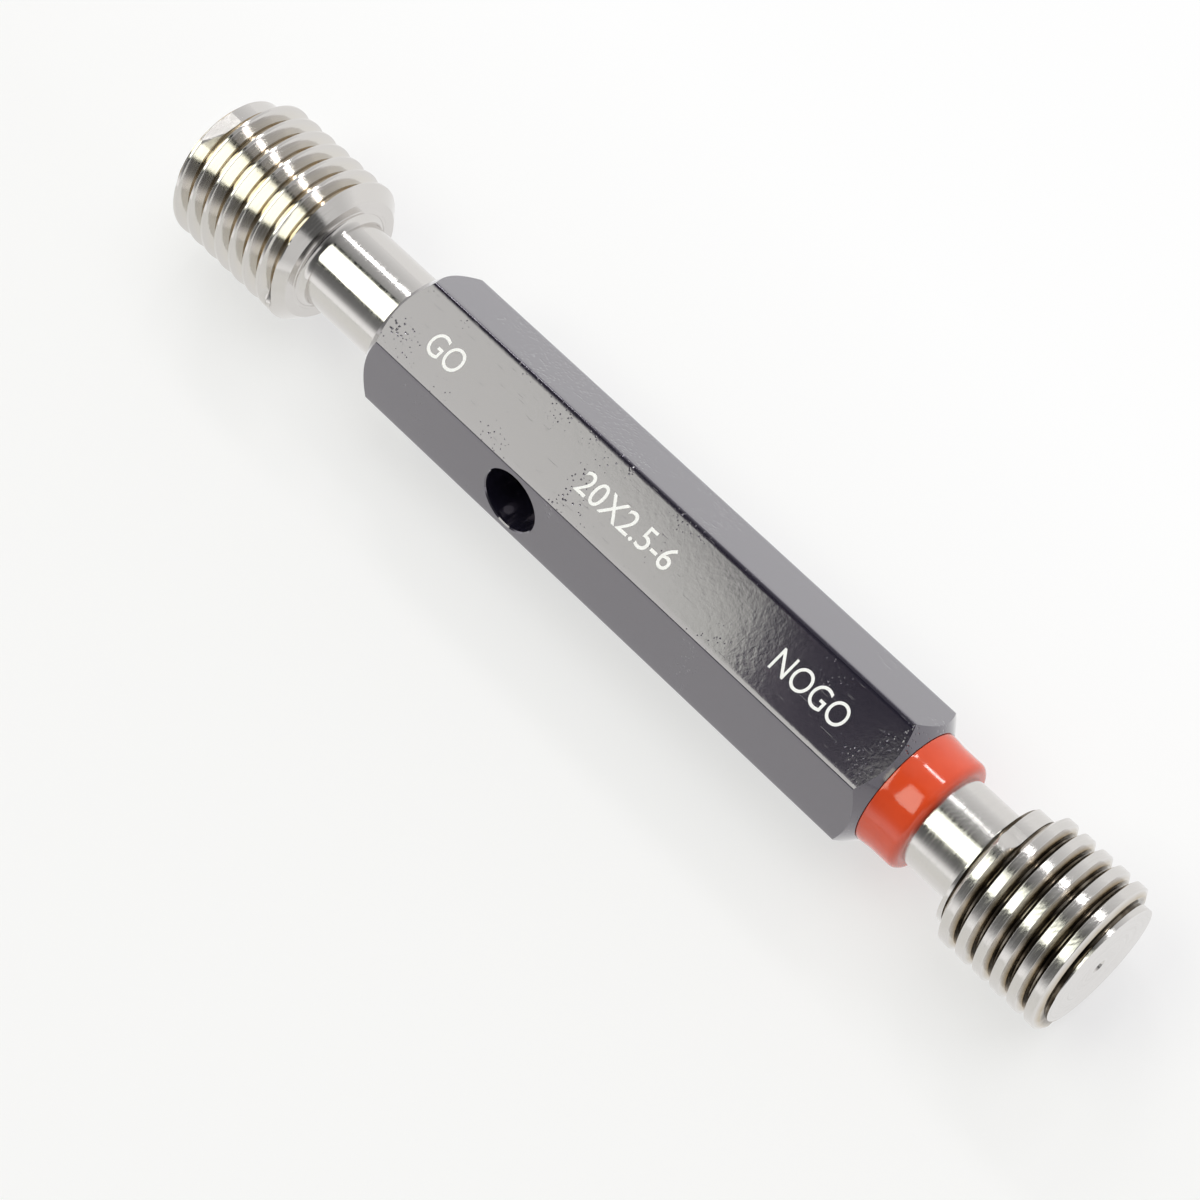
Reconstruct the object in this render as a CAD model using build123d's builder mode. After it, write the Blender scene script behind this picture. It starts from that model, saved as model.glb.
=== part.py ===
from build123d import *
import os
from math import cos, radians, sin, tan

# Thread plug gauge for a 20 mm by 2.5 mm internal thread, in millimetres. It lies along X, from its GO
# end to its NOGO end, on the crests of its GO thread, with the lettered flat of its handle facing up.

# Thread common to both members
thread_diameter = 20.0
pitch = 2.5
flank_angle = 30.0

# GO member: full thread, neck and taper shank. Depths are below its crests
go_thread_length = 20.0
go_crest_flat = 0.34
go_slot_width = 0.60
go_groove_depth = 1.80
go_relief_depth = 1.70
go_shoulder_depth = 1.55
go_edge_break = 0.30
go_neck_length = 13.35
go_neck_fillet = 1.0

# NOGO member: truncated thread with wide crests, neck and taper shank. Depths are below its crests
nogo_truncation = 0.51
nogo_thread_length = 16.0
nogo_crest_flat = 1.09
nogo_slot_width = 0.50
nogo_groove_depth = 1.64
nogo_relief_depth = 1.44
nogo_edge_break = 0.20
nogo_neck_length = 12.65
nogo_neck_fillet = 0.5

# Necks, shanks and centre holes, alike on both members
neck_diameter = 12.0
shank_length = 20.0
shank_end_chamfer = 0.4
taper_on_diameter = 1 / 50
centre_drill_diameter = 1.0
centre_mouth_diameter = 1.8
centre_hole_depth = 2.4
centre_mouth_angle = 60.0

# First crest over the top of each member, from the GO end and from the NOGO shoulder
go_crest_at_top = 1.25
nogo_crest_at_top = 1.658

# Where the thread ends and where its incomplete turns are ground off, in degrees from +Y towards +Z
go_groove_end_angle = 167.0
go_ramp_low_angle = 75.0
go_ramp_high_angle = 100.0
nogo_ramp_low_angle = 67.0
nogo_ramp_high_angle = 81.0
nogo_last_ridge_end_angle = 205.0

# Room for the cutting tools, and how many turns outside the thread they start
tool_overcut = 0.4
lead_turns = 2
ridge_tool_clearance = 0.05
ramp_lead_angle = 6.0
ramp_lead_lift = 0.2

# Hexagonal handle. Its flats lie inside the thread, so that the gauge lies on its thread crests
handle_length = 80.0
handle_undersize = 3.2
handle_corner_radius = 0.20
handle_end_depth = 0.70
handle_end_slope = 0.85
socket_mouth_chamfer = 0.25
socket_run_out = 1.0
through_bore_diameter = 10.0
drift_hole_diameter = 8.0
drift_hole_gap = 1.35
drift_hole_mouth = 0.15
drift_hole_angle = 150.0

# Ring on the NOGO neck
ring_width = 5.5
ring_wall = 1.6
ring_front_radius = 0.75
ring_back_chamfer = 0.15

# Stations along the gauge
overall_length = go_thread_length + go_neck_length + handle_length + nogo_neck_length + nogo_thread_length
go_end = -overall_length / 2
go_shoulder = go_end + go_thread_length
handle_start = go_shoulder + go_neck_length
handle_end = handle_start + handle_length
nogo_shoulder = handle_end + nogo_neck_length
nogo_end = nogo_shoulder + nogo_thread_length
drift_hole_station = handle_start + shank_length + drift_hole_gap + drift_hole_diameter / 2

# Heights and radii
axis_height = thread_diameter / 2
go_crest_radius = thread_diameter / 2
nogo_crest_radius = go_crest_radius - nogo_truncation
neck_radius = neck_diameter / 2
shank_end_radius = neck_radius - shank_length * taper_on_diameter / 2
across_flats = thread_diameter - handle_undersize
handle_end_radius = across_flats / 2 - handle_end_depth

full_turn = 360.0
top_angle = 90.0
bottom_angle = 270.0

gauge_axis = Axis((0, 0, axis_height), (1, 0, 0))
# Local x runs along the gauge and local y is the radius
section_plane = Plane(origin=(0, 0, axis_height), x_dir=(1, 0, 0), z_dir=(0, -1, 0))


def end_view(x):
    """The plane across the gauge at x: local x is +Y and local y is +Z, from the axis."""
    return Plane(origin=(x, 0, axis_height), x_dir=(0, 1, 0), z_dir=(1, 0, 0))


def round_point(radius, angle):
    """A point of an end view, at a radius and an angle from +Y towards +Z."""
    return (radius * cos(radians(angle)), radius * sin(radians(angle)))


def groove_outline(middle, crest_radius, depth, crest_flat, slot_width):
    """Corners of one thread groove: 60 degree flanks above a parallel clearance slot at the root."""
    rise = tan(radians(flank_angle))
    half_slot = slot_width / 2
    slot_top = crest_radius - (pitch - crest_flat - slot_width) / 2 / rise
    outside = crest_radius + tool_overcut
    half_mouth = half_slot + (outside - slot_top) * rise
    return [
        (middle - half_slot, crest_radius - depth),
        (middle + half_slot, crest_radius - depth),
        (middle + half_slot, slot_top),
        (middle + half_mouth, outside),
        (middle - half_mouth, outside),
        (middle - half_slot, slot_top),
    ]


def ridge_outline(middle, crest_radius, depth):
    """Corners of the tool that grinds one ridge down, from the groove before it to the one after."""
    half_width = pitch / 2 - ridge_tool_clearance
    return [
        (middle - half_width, crest_radius - depth),
        (middle + half_width, crest_radius - depth),
        (middle + half_width, crest_radius + tool_overcut),
        (middle - half_width, crest_radius + tool_overcut),
    ]


def helical_tool(outline, start, travel, towards_nogo=True):
    """A right-hand helical cutter with the given outline.

    It starts above the axis and runs towards the NOGO end, or starts below the axis and runs towards
    the GO end. The outline's radii are positive in both cases.
    """
    side = 1 if towards_nogo else -1
    with BuildPart(mode=Mode.PRIVATE) as cutter:
        with BuildLine(mode=Mode.PRIVATE) as path:
            Helix(pitch, travel, axis_height, center=(start, 0, axis_height), direction=(side, 0, 0))
        with BuildSketch(section_plane):
            with BuildLine():
                Polyline(*[(x, side * radius) for x, radius in outline], close=True)
            make_face()
        sweep(path=path.line, is_frenet=True)
    return cutter.part


def ramp_tool(low_end, high_end, crest_radius, depth, low_angle, high_angle):
    """The flat that leads from a ground turn up to the crest, between two stations along X."""
    ground_radius = crest_radius - depth
    outside = crest_radius + 2 * tool_overcut
    lead_angle = low_angle - ramp_lead_angle
    with BuildPart(mode=Mode.PRIVATE) as cutter:
        with BuildSketch(end_view(low_end)):
            with BuildLine():
                Polyline(
                    round_point(ground_radius, low_angle),
                    round_point(crest_radius, high_angle),
                    round_point(outside, high_angle),
                    round_point(outside, lead_angle),
                    round_point(ground_radius + ramp_lead_lift, lead_angle),
                    close=True,
                )
            make_face()
        extrude(amount=high_end - low_end)
    return cutter.part


# Crests and grooves over the top of the gauge. Each tool starts clear of its member
go_first_crest = go_end + go_crest_at_top
go_groove_start = go_first_crest + pitch / 2 - lead_turns * pitch
go_groove_turns = round((go_shoulder - go_groove_start) / pitch - 1)
go_groove_travel = (go_groove_turns + (go_groove_end_angle - top_angle) / full_turn) * pitch
go_relief_start = go_first_crest - lead_turns * pitch
go_ground_turns = (go_ramp_low_angle - top_angle) / full_turn
go_ramp_end = go_first_crest + pitch / 2 + go_ground_turns * pitch

nogo_first_crest = nogo_shoulder + nogo_crest_at_top
nogo_last_crest = nogo_first_crest + int((nogo_thread_length - nogo_crest_at_top) / pitch) * pitch
nogo_groove_start = nogo_first_crest + pitch / 2 - lead_turns * pitch
nogo_stock_end = nogo_end + 2 * pitch
nogo_groove_travel = nogo_end + pitch - nogo_groove_start
nogo_relief_start = nogo_first_crest - lead_turns * pitch
nogo_ground_turns = (nogo_ramp_low_angle - top_angle) / full_turn
nogo_ramp_end = nogo_first_crest + pitch / 2 + nogo_ground_turns * pitch
nogo_end_relief_start = nogo_last_crest + pitch / 2 + lead_turns * pitch
nogo_end_relief_turns = lead_turns + (bottom_angle - nogo_last_ridge_end_angle) / full_turn

# GO member, turned in one piece with its taper shank
with BuildPart() as go_member:
    with BuildSketch(section_plane):
        with BuildLine():
            Polyline(
                (go_end, 0),
                (go_end, go_crest_radius - go_edge_break),
                (go_end + go_edge_break, go_crest_radius),
                (go_shoulder - go_shoulder_depth, go_crest_radius),
                (go_shoulder, go_crest_radius - go_shoulder_depth),
                (go_shoulder, neck_radius),
                (handle_start, neck_radius),
                (handle_start + shank_length, shank_end_radius),
                (handle_start + shank_length, 0),
                close=True,
            )
        make_face()
    revolve(axis=gauge_axis)
    turned_rims = go_member.edges().filter_by(GeomType.CIRCLE)
    shoulder_rims = turned_rims.filter_by_position(Axis.X, go_shoulder, go_shoulder)
    fillet(shoulder_rims.sort_by(SortBy.RADIUS)[0], go_neck_fillet)
    chamfer(go_member.edges().filter_by(GeomType.CIRCLE).sort_by(Axis.X)[-1], shank_end_chamfer)
    with Locations(Plane(origin=(go_end, 0, axis_height), z_dir=(-1, 0, 0))):
        CounterSinkHole(
            centre_drill_diameter / 2, centre_mouth_diameter / 2, centre_hole_depth, centre_mouth_angle
        )
    # The thread groove, which ends short of the shoulder
    go_groove = groove_outline(
        go_groove_start, go_crest_radius, go_groove_depth, go_crest_flat, go_slot_width
    )
    add(helical_tool(go_groove, go_groove_start, go_groove_travel), mode=Mode.SUBTRACT)
    # The incomplete turn at the free end, ground off behind a short ramp
    go_relief = ridge_outline(go_relief_start, go_crest_radius, go_relief_depth)
    go_relief_travel = (lead_turns + go_ground_turns) * pitch
    add(helical_tool(go_relief, go_relief_start, go_relief_travel), mode=Mode.SUBTRACT)
    add(
        ramp_tool(
            go_end - tool_overcut,
            go_ramp_end,
            go_crest_radius,
            go_relief_depth,
            go_ramp_low_angle,
            go_ramp_high_angle,
        ),
        mode=Mode.SUBTRACT,
    )

# NOGO member, with its truncated thread. Its blank is long, to be cut to length once it is threaded
with BuildPart() as nogo_member:
    with BuildSketch(section_plane):
        with BuildLine():
            Polyline(
                (nogo_stock_end, 0),
                (nogo_stock_end, nogo_crest_radius),
                (nogo_shoulder, nogo_crest_radius),
                (nogo_shoulder, neck_radius),
                (handle_end, neck_radius),
                (handle_end - shank_length, shank_end_radius),
                (handle_end - shank_length, 0),
                close=True,
            )
        make_face()
    revolve(axis=gauge_axis)
    turned_rims = nogo_member.edges().filter_by(GeomType.CIRCLE)
    shoulder_rims = turned_rims.filter_by_position(Axis.X, nogo_shoulder, nogo_shoulder)
    fillet(shoulder_rims.sort_by(SortBy.RADIUS)[0], nogo_neck_fillet)
    chamfer(nogo_member.edges().filter_by(GeomType.CIRCLE).sort_by(Axis.X)[0], shank_end_chamfer)
    # The thread groove, which runs out through both ends
    nogo_groove = groove_outline(
        nogo_groove_start, nogo_crest_radius, nogo_groove_depth, nogo_crest_flat, nogo_slot_width
    )
    add(helical_tool(nogo_groove, nogo_groove_start, nogo_groove_travel), mode=Mode.SUBTRACT)
    # Cut to length, with the edge broken
    with BuildSketch(section_plane):
        with BuildLine():
            Polyline(
                (nogo_end, 0),
                (nogo_end, nogo_crest_radius - nogo_edge_break),
                (nogo_end - nogo_edge_break - tool_overcut, nogo_crest_radius + tool_overcut),
                (nogo_stock_end + tool_overcut, nogo_crest_radius + tool_overcut),
                (nogo_stock_end + tool_overcut, 0),
                close=True,
            )
        make_face()
    revolve(axis=gauge_axis, mode=Mode.SUBTRACT)
    with Locations(Plane(origin=(nogo_end, 0, axis_height), z_dir=(1, 0, 0))):
        CounterSinkHole(
            centre_drill_diameter / 2, centre_mouth_diameter / 2, centre_hole_depth, centre_mouth_angle
        )
    # The incomplete turn beside the neck, ground off behind a ramp
    nogo_relief = ridge_outline(nogo_relief_start, nogo_crest_radius, nogo_relief_depth)
    nogo_relief_travel = (lead_turns + nogo_ground_turns) * pitch
    add(helical_tool(nogo_relief, nogo_relief_start, nogo_relief_travel), mode=Mode.SUBTRACT)
    add(
        ramp_tool(
            nogo_shoulder - tool_overcut,
            nogo_ramp_end,
            nogo_crest_radius,
            nogo_relief_depth,
            nogo_ramp_low_angle,
            nogo_ramp_high_angle,
        ),
        mode=Mode.SUBTRACT,
    )
    # The incomplete turn at the free end, ground off back to the end of the last ridge
    nogo_end_relief = ridge_outline(nogo_end_relief_start, nogo_crest_radius, nogo_relief_depth)
    nogo_end_relief_travel = nogo_end_relief_turns * pitch
    add(
        helical_tool(nogo_end_relief, nogo_end_relief_start, nogo_end_relief_travel, towards_nogo=False),
        mode=Mode.SUBTRACT,
    )

# Handle: hexagonal bar, bored through, with a taper socket at each end and the cross hole for the drift
with BuildPart() as handle:
    with BuildSketch(end_view(handle_start)):
        RegularPolygon(across_flats / 2, 6, major_radius=False)
    extrude(amount=handle_length)
    fillet(handle.edges().filter_by(Axis.X), handle_corner_radius)
    # The ends, turned to a cone. The outline meets itself well outside the corners
    cone_rise = across_flats / 2
    cone_run = cone_rise * handle_end_slope
    with BuildSketch(section_plane):
        with BuildLine():
            Polyline(
                (handle_start, 0),
                (handle_start, handle_end_radius),
                (handle_start + cone_run, handle_end_radius + cone_rise),
                (handle_end - cone_run, handle_end_radius + cone_rise),
                (handle_end, handle_end_radius),
                (handle_end, 0),
                close=True,
            )
        make_face()
    revolve(axis=gauge_axis, mode=Mode.INTERSECT)
    # Bore and sockets in one section, from mouth to mouth
    socket_depth = shank_length + socket_run_out
    socket_end_radius = neck_radius - socket_depth * taper_on_diameter / 2
    seat_radius = neck_radius - socket_mouth_chamfer * taper_on_diameter / 2
    mouth_radius = seat_radius + socket_mouth_chamfer
    with BuildSketch(section_plane):
        with BuildLine():
            Polyline(
                (handle_start, 0),
                (handle_start, mouth_radius),
                (handle_start + socket_mouth_chamfer, seat_radius),
                (handle_start + socket_depth, socket_end_radius),
                (handle_start + socket_depth, through_bore_diameter / 2),
                (handle_end - socket_depth, through_bore_diameter / 2),
                (handle_end - socket_depth, socket_end_radius),
                (handle_end - socket_mouth_chamfer, seat_radius),
                (handle_end, mouth_radius),
                (handle_end, 0),
                close=True,
            )
        make_face()
    revolve(axis=gauge_axis, mode=Mode.SUBTRACT)
    hole_y, hole_z = round_point(1, drift_hole_angle)
    with BuildSketch(Plane(origin=(drift_hole_station, 0, axis_height), z_dir=(0, hole_y, hole_z))):
        Circle(drift_hole_diameter / 2)
    extrude(amount=across_flats, both=True, mode=Mode.SUBTRACT)
    hole_rims = handle.edges().filter_by(GeomType.CIRCLE).filter_by(
        lambda rim: abs(rim.radius - drift_hole_diameter / 2) < drift_hole_mouth / 2
    )
    chamfer(hole_rims, drift_hole_mouth)

# Ring, pushed along the neck against the end of the handle
with BuildPart() as nogo_ring:
    with BuildSketch(section_plane):
        with Locations((handle_end, neck_radius)):
            Rectangle(ring_width, ring_wall, align=(Align.MIN, Align.MIN))
    revolve(axis=gauge_axis)
    outer_rims = nogo_ring.edges().filter_by(GeomType.CIRCLE).sort_by(SortBy.RADIUS)[-2:]
    chamfer(outer_rims.sort_by(Axis.X)[0], ring_back_chamfer)
    fillet(outer_rims.sort_by(Axis.X)[-1], ring_front_radius)

go_member.part.label = "go_member"
nogo_member.part.label = "nogo_member"
handle.part.label = "handle"
nogo_ring.part.label = "nogo_ring"

os.makedirs("parts", exist_ok=True)
export_step(go_member.part, "parts/go_member.step")
export_step(nogo_member.part, "parts/nogo_member.step")
export_step(handle.part, "parts/handle.step")
export_step(nogo_ring.part, "parts/nogo_ring.step")
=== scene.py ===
"""Double-ended thread plug gauge: two ground steel members in a lacquered hexagonal handle.

The gauge's axis lies along X. Pieces are modelled about it in millimetres and then put in place.
"""

import logging
from dataclasses import dataclass, field
from enum import Enum
from math import atan2, cos, degrees, hypot, inf, pi, radians, sin, tan

import bmesh
import bpy
from mathutils import Matrix, Vector


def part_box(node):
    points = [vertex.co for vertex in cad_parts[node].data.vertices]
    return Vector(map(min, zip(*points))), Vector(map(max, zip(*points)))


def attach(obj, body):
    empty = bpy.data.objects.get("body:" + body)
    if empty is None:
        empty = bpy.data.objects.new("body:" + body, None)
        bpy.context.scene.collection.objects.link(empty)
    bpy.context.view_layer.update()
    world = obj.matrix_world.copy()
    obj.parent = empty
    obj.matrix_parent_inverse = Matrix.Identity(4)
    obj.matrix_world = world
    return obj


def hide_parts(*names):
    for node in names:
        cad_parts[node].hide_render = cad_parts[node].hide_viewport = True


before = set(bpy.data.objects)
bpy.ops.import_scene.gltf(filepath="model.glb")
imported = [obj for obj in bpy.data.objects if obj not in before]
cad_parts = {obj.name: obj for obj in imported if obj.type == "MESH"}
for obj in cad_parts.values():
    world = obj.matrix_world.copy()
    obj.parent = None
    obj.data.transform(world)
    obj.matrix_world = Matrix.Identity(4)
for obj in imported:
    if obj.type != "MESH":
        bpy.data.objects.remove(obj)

log = logging.getLogger("thread_plug_gauge")

MM = 0.001
FULL_TURN = 360.0
TOP_ANGLE = 90.0
X_AXIS = (1, 0, 0)
Y_AXIS = (0, 1, 0)
BODY = "root"
# Millimetres within which vertices are merged, a point lies on a place, and radii are the same
WELD = 1e-4
NEAR = 1e-3
SAME = 1e-6
# The largest turn between two faces, in degrees, that still looks smooth
SMOOTH_TURN = 27.0
# Attributes of a threaded piece: how deep in a groove a point is, and where a ramp was ground
GROOVE = "groove"
RAMP = "ramp"

Colour = tuple[float, float, float, float]
Outline = list[tuple[float, float]]
Triple = tuple[float, float, float]
Tree = bpy.types.NodeTree
Reading = bpy.types.Node | bpy.types.NodeSocket


class Cut(Enum):
    """What a cutter does to the solid that it meets."""

    KEEP_INSIDE = "INTERSECT"
    REMOVE = "DIFFERENCE"


class FreeEnd(Enum):
    """Which way along X the free end of a member looks."""

    GO = -1
    NOGO = 1


@dataclass(frozen=True)
class Span:
    """Where a reading starts to count and where it counts in full, with its level at both."""

    start: float
    end: float
    low: float = 0.0
    high: float = 1.0

    def of(self, reading: Reading) -> dict:
        """Gives what goes into a node that turns the reading into its level."""
        names = ("Value", "From Min", "From Max", "To Min", "To Max")
        return dict(zip(names, (reading, self.start, self.end, self.low, self.high)))


def linear_colour(code: str) -> Colour:
    """Turns an sRGB hex code such as "#C8C2BA" into a linear colour.

    Args:
        code: The colour, as # and six hex digits.

    Returns:
        Red, green, blue and an alpha of 1.
    """
    parts = [int(code[i : i + 2], 16) / 255 for i in (1, 3, 5)]
    red, green, blue = (p / 12.92 if p <= 0.04045 else ((p + 0.055) / 1.055) ** 2.4 for p in parts)
    return red, green, blue, 1.0


def add_node(tree: Tree, kind: str, inputs: dict | None = None, **settings) -> bpy.types.Node:
    """Adds a node to a tree, with its settings and what goes into it.

    Args:
        tree: The node tree.
        kind: The node's type name, without ShaderNode at its start.
        inputs: What goes into each input in use, by its name or number: a value, an output of
            another node, another node, whose first output in use it takes, or None for nothing.
        **settings: Properties of the node itself.

    Returns:
        The new node.
    """
    node = tree.nodes.new("ShaderNode" + kind)
    for name, value in settings.items():
        setattr(node, name, value)
    for key, value in (inputs or {}).items():
        if value is None:
            continue
        target = next(
            socket
            for number, socket in enumerate(node.inputs)
            if socket.enabled and key in (number, socket.name)
        )
        if isinstance(value, bpy.types.Node):
            value = next(socket for socket in value.outputs if socket.enabled)
        if isinstance(value, bpy.types.NodeSocket):
            tree.links.new(value, target)
        else:
            target.default_value = value
    return node


def new_material(name: str) -> tuple[bpy.types.Material, Tree]:
    """Makes an empty node material.

    Args:
        name: What the material is.

    Returns:
        The material and its node tree.
    """
    material = bpy.data.materials.new(name)
    material.use_nodes = True
    material.node_tree.nodes.clear()
    return material, material.node_tree


def millimetres(tree: Tree) -> bpy.types.Node:
    """Gives a material's Object coordinates in millimetres."""
    place = add_node(tree, "TexCoord").outputs["Object"]
    return add_node(tree, "VectorMath", {0: place, 1: (1 / MM,) * 3}, operation="MULTIPLY")


def chain(bm: bmesh.types.BMesh, points: Outline) -> list[bmesh.types.BMVert]:
    """Draws an open outline in the XZ plane.

    Args:
        bm: The mesh that it is drawn in.
        points: Stations along X with their radii, in millimetres.

    Returns:
        The outline's vertices in order.
    """
    corners = [bm.verts.new((x, 0.0, radius)) for x, radius in points]
    for first, second in zip(corners, corners[1:]):
        bm.edges.new((first, second))
    return corners


def round_corners(bm: bmesh.types.BMesh, places: Outline, radius: float, segments: int) -> None:
    """Rounds corners of an outline before it is spun or extruded.

    Args:
        bm: The outline's mesh.
        places: Stations with radii of the corners to round.
        radius: How far from the corner the rounding starts, in millimetres.
        segments: How many edges each rounding has.
    """
    corners = [
        min(bm.verts, key=lambda vert: hypot(vert.co.x - x, vert.co.z - z)) for x, z in places
    ]
    bmesh.ops.bevel(
        bm,
        geom=corners,
        affect="VERTICES",
        offset=radius,
        segments=segments,
        profile=0.5,
        material=-1,
    )


def spin_once(bm: bmesh.types.BMesh, steps: int, axis: Triple = X_AXIS, **way) -> None:
    """Spins all that a mesh holds once about an axis through the origin.

    Args:
        bm: The mesh.
        steps: Edges around the form.
        axis: The axis.
        **way: Further settings of the operator.
    """
    drawn = bm.verts[:] + bm.edges[:]
    bmesh.ops.spin(bm, geom=drawn, cent=(0, 0, 0), axis=axis, angle=2 * pi, steps=steps, **way)


def spin_round(bm: bmesh.types.BMesh, steps: int) -> None:
    """Spins all that a mesh holds once about the X axis and closes its seam and poles."""
    spin_once(bm, steps, use_merge=True)
    bmesh.ops.remove_doubles(bm, verts=bm.verts, dist=WELD)


def turn(points: Outline, steps: int) -> bmesh.types.BMesh:
    """Turns an outline about the X axis into a round form.

    Args:
        points: Stations along X with their radii, in millimetres.
        steps: Edges around the form.

    Returns:
        The form, closed where the outline meets the axis.
    """
    bm = bmesh.new()
    chain(bm, points)
    spin_round(bm, steps)
    return bm


def mark_edges(bm: bmesh.types.BMesh, sharpest: float = SMOOTH_TURN) -> None:
    """Points the faces outwards, smooths them and keeps the edges that turn further than an angle.

    Args:
        bm: The mesh.
        sharpest: The largest turn that still looks smooth, in degrees.
    """
    bmesh.ops.recalc_face_normals(bm, faces=bm.faces)
    for face in bm.faces:
        face.smooth = True
    for edge in bm.edges:
        edge.smooth = edge.calc_face_angle(0.0) < radians(sharpest)


def new_object(bm: bmesh.types.BMesh, name: str) -> bpy.types.Object:
    """Turns a mesh into an object of the scene, at the origin.

    Args:
        bm: The mesh, which is freed.
        name: The object's name.

    Returns:
        The object.
    """
    mesh = bpy.data.meshes.new(name)
    bm.to_mesh(mesh)
    bm.free()
    made = bpy.data.objects.new(name, mesh)
    bpy.context.scene.collection.objects.link(made)
    return made


def finish_piece(bm: bmesh.types.BMesh, name: str, lift: float) -> bpy.types.Object:
    """Turns a mesh about the gauge's axis, in millimetres, into a piece in its place, in metres.

    Args:
        bm: The mesh, which is freed.
        name: The piece's name.
        lift: Height of the gauge's axis, in millimetres.

    Returns:
        The piece, at the origin.
    """
    bmesh.ops.translate(bm, verts=bm.verts, vec=(0, 0, lift))
    bmesh.ops.scale(bm, verts=bm.verts, vec=(MM, MM, MM))
    return new_object(bm, name)


def polar_chord(angle: float, low: tuple[float, float], high: tuple[float, float]) -> float:
    """Radius of a straight line between two polar points.

    Args:
        angle: Where the radius is wanted, in degrees.
        low: Radius and angle of the first point.
        high: Radius and angle of the second point.

    Returns:
        The line's radius at that angle.
    """
    (low_radius, low_angle), (high_radius, high_angle) = low, high
    across = low_radius * high_radius * sin(radians(high_angle - low_angle))
    from_low = low_radius * sin(radians(angle - low_angle))
    from_high = high_radius * sin(radians(high_angle - angle))
    return across / (from_low + from_high)


@dataclass(frozen=True)
class GroundSteel:
    """Hardened tool steel, ground bare, with painted shade in the grooves. Millimetres."""

    name: str
    colour: str = "#D8D5D2"
    axis_height: float = 10.0
    roughness: float = 0.12
    streak_span: tuple[float, float] = (0.3, 0.7)
    streak_shares: tuple[float, float] = (0.6, 1.6)
    ramp_roughness: float = 0.42
    flank_painted_shade: str = "#DAD6CF"
    floor_painted_shade: str = "#B09A74"
    painted_shade_amount: float = 0.80
    flank_shade_span: Span = Span(0.12, 0.45)
    floor_shade_span: Span = Span(0.84, 0.97)
    blotch_size: float = 2.5
    blotch_span: tuple[float, float] = (0.3, 0.6)
    # Real grinding lines are too fine to show, so they are drawn as coarse as this
    line_spacing: float = 0.16
    line_height: float = 0.0020
    line_drift: float = 0.05
    broad_line_spacing: float = 0.64
    broad_line_height: float = 0.0015
    grain_size: float = 0.45
    grain_height: float = 0.0025
    hairline_turn: Triple = (0.3, 0.9, 0.7)
    hairline_stretch: Triple = (0.22, 3.0, 3.0)
    hairline_span: Span = Span(0.70, 0.74)
    hairline_depth: float = 0.0015
    hack_size: float = 2 / 7
    hack_height: float = 0.05
    chatter_spacing: float = 0.55
    chatter_turn: float = 0.6
    chatter_span: Span = Span(0.42, 0.58)
    chatter_height: float = 0.0

    def material(self) -> bpy.types.Material:
        """Builds the steel: lines, grain, hairlines, rougher ramps and painted shade in the
        grooves.

        Returns:
            The material.
        """
        # Bare ground metal mirrors the room, and the lines draw each reflection out across them
        material, tree = new_material(self.name)
        place = millimetres(tree)
        turned = self.turned_place(tree, place)
        # Hairlines: a noise drawn out 14 times along a slanted direction, of which only crests show
        slanted = add_node(
            tree,
            "Mapping",
            {"Vector": place, "Rotation": self.hairline_turn, "Scale": self.hairline_stretch},
        )
        lines, broad_lines, grain, blotches, drawn_out, coarse = (
            add_node(tree, "TexNoise", {"Vector": where, "Scale": 1 / size, "Detail": octaves})
            for where, size, octaves in (
                (turned, self.line_spacing, 3.0),
                (turned, self.broad_line_spacing, 2.0),
                (place, self.grain_size, 4.0),
                (place, self.blotch_size, 4.0),
                (slanted, 1.0, 1.0),
                (place, self.hack_size, 2.0),
            )
        )
        groove, ramp = (
            add_node(tree, "Attribute", attribute_name=name).outputs["Fac"]
            for name in (GROOVE, RAMP)
        )
        hairlines = add_node(tree, "MapRange", self.hairline_span.of(drawn_out))
        hacked = add_node(tree, "Math", {0: coarse, 1: ramp}, operation="MULTIPLY")
        relief = [
            (lines, self.line_height),
            (broad_lines, self.broad_line_height),
            (grain, self.grain_height),
            (hairlines, -self.hairline_depth),
            (hacked, self.hack_height),
        ]
        if self.chatter_height:
            relief.append((self.ripples(tree, place, blotches), self.chatter_height))
        normal = None
        for pattern, height in relief:
            inputs = {"Height": pattern, "Distance": abs(height) * MM, "Normal": normal}
            normal = add_node(tree, "Bump", inputs, invert=height < 0)
        levels = [self.roughness * share for share in self.streak_shares]
        streaked = add_node(tree, "MapRange", Span(*self.streak_span, *levels).of(lines))
        # A ramp is ground freehand, so it scatters light far more than the turned faces
        rough = add_node(tree, "Mix", {"Factor": ramp, "A": streaked, "B": self.ramp_roughness})
        shader = add_node(tree, "BsdfPrincipled", {
            "Base Color": self.groove_shaded_colour(tree, groove, blotches),
            "Metallic": 1.0,
            "Roughness": rough,
            "Normal": normal,
        })
        add_node(tree, "OutputMaterial", {"Surface": shader})
        return material

    def turned_place(self, tree: Tree, place: Reading) -> bpy.types.Node:
        """Gives coordinates that change fast along X and along the radius, and slowly around.

        Args:
            tree: The material's tree.
            place: Object coordinates in millimetres.

        Returns:
            The node that gives them.
        """
        parts = add_node(tree, "SeparateXYZ", {"Vector": place}).outputs
        height = add_node(tree, "Math", {0: parts["Z"], 1: self.axis_height}, operation="SUBTRACT")
        across = add_node(tree, "CombineXYZ", {"Y": parts["Y"], "Z": height})
        radius = add_node(tree, "VectorMath", {0: across}, operation="LENGTH")
        around = add_node(tree, "Math", {0: parts["Y"], 1: self.line_drift}, operation="MULTIPLY")
        return add_node(tree, "CombineXYZ", {"X": parts["X"], "Y": radius, "Z": around})

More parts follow.
